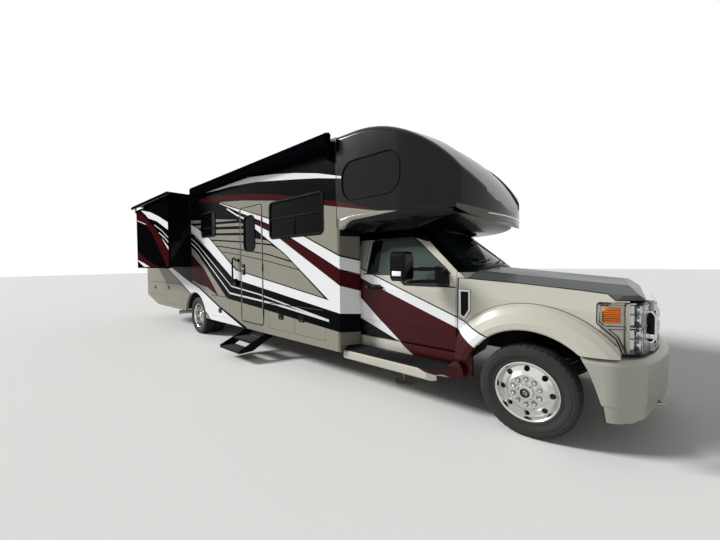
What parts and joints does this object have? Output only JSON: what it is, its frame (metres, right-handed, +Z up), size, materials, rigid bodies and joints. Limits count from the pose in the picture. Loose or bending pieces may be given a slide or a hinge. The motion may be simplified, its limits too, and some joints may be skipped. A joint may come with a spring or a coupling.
{
  "type": "cab-over bunk motorhome",
  "caption": "Motorhome on a pickup cab chassis with over-cab bunk, two slide-out rooms, opening doors, luggage hatches, hood, steering and twin rear wheels.",
  "frame": {"origin": "middle of the whole vehicle's footprint, at ground level", "axes": "+X towards the front of the vehicle, +Y to its left (driver's side), +Z up"},
  "size_m": [11.1388, 3.55, 3.58],
  "materials": {
    "black_paint": "satin black chassis paint",
    "dull_steel": "dull bare steel",
    "black_plastic": "grained black plastic",
    "tyre_rubber": "dusty tyre rubber",
    "polished_wheel": "polished forged aluminium",
    "body_paint": "glossy champagne with black, maroon and white sweeps",
    "white_roof": "white roof membrane",
    "dark_laminate": "laminated floor on steel",
    "cap_paint": "glossy black over champagne",
    "tinted_glass": "dark tinted glass",
    "black_fabric": "woven awning fabric",
    "white_plastic": "moulded covers",
    "bright_aluminium": "bare aluminium tube",
    "red_lens": "red lamp lens",
    "cab_paint": "glossy champagne with maroon and white sweeps",
    "chrome_trim": "bright chrome",
    "clear_lens": "clear lamp lens over a bright reflector",
    "maroon_plastic": "maroon moulding with dark tread",
    "cast_iron_grey": "cast block",
    "seat_fabric": "woven seat cloth",
    "dash_plastic": "dark grained plastic"
  },
  "bodies": {
    "coach": {"chassis_frame": "black_paint", "front_axle": "black_paint", "rear_axle": "black_paint", "exhaust_pipe": "dull_steel", "leveling_jacks": "dull_steel", "fuel_tank": "black_plastic", "side_wall_right": "body_paint", "side_wall_left": "body_paint", "rear_wall": "body_paint", "roof_panel": "white_roof", "house_floor": "dark_laminate", "front_bulkhead": "body_paint", "front_cap": "cap_paint", "fixed_windows": "tinted_glass", "luggage_trays": "black_plastic", "slide_topper_right": "black_fabric", "slide_topper_left": "black_fabric", "patio_awning": "black_paint", "roof_equipment": "white_plastic", "rear_ladder": "bright_aluminium", "tail_lamps": "red_lens", "entry_step": "black_paint", "cab_body": "cab_paint", "front_fenders": "cab_paint", "grille": "chrome_trim", "headlamps": "clear_lens", "front_bumper": "cab_paint", "running_boards": "maroon_plastic", "engine_block": "cast_iron_grey", "cab_seats": "seat_fabric", "dashboard": "dash_plastic"},
    "steering_knuckle_right": {"steering_knuckle_right": "dull_steel"},
    "steering_knuckle_left": {"steering_knuckle_left": "dull_steel"},
    "front_wheel_right": {"tyre_front_right": "tyre_rubber", "wheel_front_right": "polished_wheel"},
    "front_wheel_left": {"tyre_front_left": "tyre_rubber", "wheel_front_left": "polished_wheel"},
    "rear_wheels_right": {"tyres_rear_right": "tyre_rubber", "wheels_rear_right": "polished_wheel"},
    "rear_wheels_left": {"tyres_rear_left": "tyre_rubber", "wheels_rear_left": "polished_wheel"},
    "cab_door_right": {"cab_door_right": "cab_paint", "cab_door_glass_right": "tinted_glass", "door_mirror_right": "black_plastic"},
    "cab_door_left": {"cab_door_left": "cab_paint", "cab_door_glass_left": "tinted_glass", "door_mirror_left": "black_plastic"},
    "hood": {"hood": "cab_paint"},
    "entry_door": {"entry_door": "body_paint", "entry_door_window": "tinted_glass"},
    "slide_out_right": {"slide_out_right": "body_paint"},
    "slide_out_left": {"slide_out_left": "body_paint", "slide_window_left": "tinted_glass"},
    "baggage_door_front_right": {"baggage_door_front_right": "body_paint"},
    "baggage_door_step_right": {"baggage_door_step_right": "body_paint"},
    "baggage_door_middle_right": {"baggage_door_middle_right": "body_paint"},
    "baggage_door_rear_right": {"baggage_door_rear_right": "body_paint"},
    "baggage_door_tail_right": {"baggage_door_tail_right": "body_paint"},
    "baggage_door_front_left": {"baggage_door_front_left": "body_paint"},
    "baggage_door_rear_left": {"baggage_door_rear_left": "body_paint"}
  },
  "joints": [
    {"name": "steer_right", "type": "hinge", "parent": "coach", "child": "steering_knuckle_right", "pos_m": [4.6045, -0.77, 0.406], "axis": [0, 0, 1], "range_deg": [-35, 35]},
    {"name": "front_wheel_right_spin", "type": "hinge", "parent": "steering_knuckle_right", "child": "front_wheel_right", "pos_m": [4.6045, -0.95, 0.406], "axis": [0, 1, 0], "continuous": true},
    {"name": "rear_wheels_right_spin", "type": "hinge", "parent": "coach", "child": "rear_wheels_right", "pos_m": [-2.0455, -0.953, 0.406], "axis": [0, 1, 0], "continuous": true},
    {"name": "cab_door_right_hinge", "type": "hinge", "parent": "coach", "child": "cab_door_right", "pos_m": [3.9465, -1.006, 1], "axis": [0, 0, 1], "range_deg": [0, 70]},
    {"name": "slide_out_right_travel", "type": "slide", "parent": "coach", "child": "slide_out_right", "axis": [0, 1, 0], "range_m": [0, 0.409], "deforming": ["slide_topper_right"]},
    {"name": "steer_left", "type": "hinge", "parent": "coach", "child": "steering_knuckle_left", "pos_m": [4.6045, 0.77, 0.406], "axis": [0, 0, 1], "range_deg": [-35, 35]},
    {"name": "front_wheel_left_spin", "type": "hinge", "parent": "steering_knuckle_left", "child": "front_wheel_left", "pos_m": [4.6045, 0.95, 0.406], "axis": [0, 1, 0], "continuous": true},
    {"name": "rear_wheels_left_spin", "type": "hinge", "parent": "coach", "child": "rear_wheels_left", "pos_m": [-2.0455, 0.953, 0.406], "axis": [0, 1, 0], "continuous": true},
    {"name": "cab_door_left_hinge", "type": "hinge", "parent": "coach", "child": "cab_door_left", "pos_m": [3.9465, 1.006, 1], "axis": [0, 0, -1], "range_deg": [0, 70]},
    {"name": "slide_out_left_travel", "type": "slide", "parent": "coach", "child": "slide_out_left", "axis": [0, -1, 0], "range_m": [0, 0.409], "deforming": ["slide_topper_left"]},
    {"name": "hood_hinge", "type": "hinge", "parent": "coach", "child": "hood", "pos_m": [4.0595, 0, 1.508], "axis": [0, -1, 0], "range_deg": [0, 50]},
    {"name": "entry_door_hinge", "type": "hinge", "parent": "coach", "child": "entry_door", "pos_m": [0.7385, -1.261, 1.5], "axis": [0, 0, 1], "range_deg": [0, 90]},
    {"name": "baggage_door_front_right_hinge", "type": "hinge", "parent": "coach", "child": "baggage_door_front_right", "pos_m": [1.9145, -1.261, 0.929], "axis": [-1, 0, 0], "range_deg": [0, 90]},
    {"name": "baggage_door_step_right_hinge", "type": "hinge", "parent": "coach", "child": "baggage_door_step_right", "pos_m": [1.2295, -1.261, 0.929], "axis": [-1, 0, 0], "range_deg": [0, 90]},
    {"name": "baggage_door_middle_right_hinge", "type": "hinge", "parent": "coach", "child": "baggage_door_middle_right", "pos_m": [-0.8155, -1.261, 0.929], "axis": [-1, 0, 0], "range_deg": [0, 90]},
    {"name": "baggage_door_rear_right_hinge", "type": "hinge", "parent": "coach", "child": "baggage_door_rear_right", "pos_m": [-3.3305, -1.261, 1.089], "axis": [-1, 0, 0], "range_deg": [0, 90]},
    {"name": "baggage_door_tail_right_hinge", "type": "hinge", "parent": "coach", "child": "baggage_door_tail_right", "pos_m": [-4.6205, -1.261, 1.089], "axis": [-1, 0, 0], "range_deg": [0, 90]},
    {"name": "baggage_door_front_left_hinge", "type": "hinge", "parent": "coach", "child": "baggage_door_front_left", "pos_m": [-0.6105, 1.261, 0.929], "axis": [1, 0, 0], "range_deg": [0, 90]},
    {"name": "baggage_door_rear_left_hinge", "type": "hinge", "parent": "coach", "child": "baggage_door_rear_left", "pos_m": [-3.3305, 1.261, 1.089], "axis": [1, 0, 0], "range_deg": [0, 90]}
  ],
  "couplings": [
    {"joint": "steer_left", "follows": "steer_right", "ratio": 1}
  ]
}
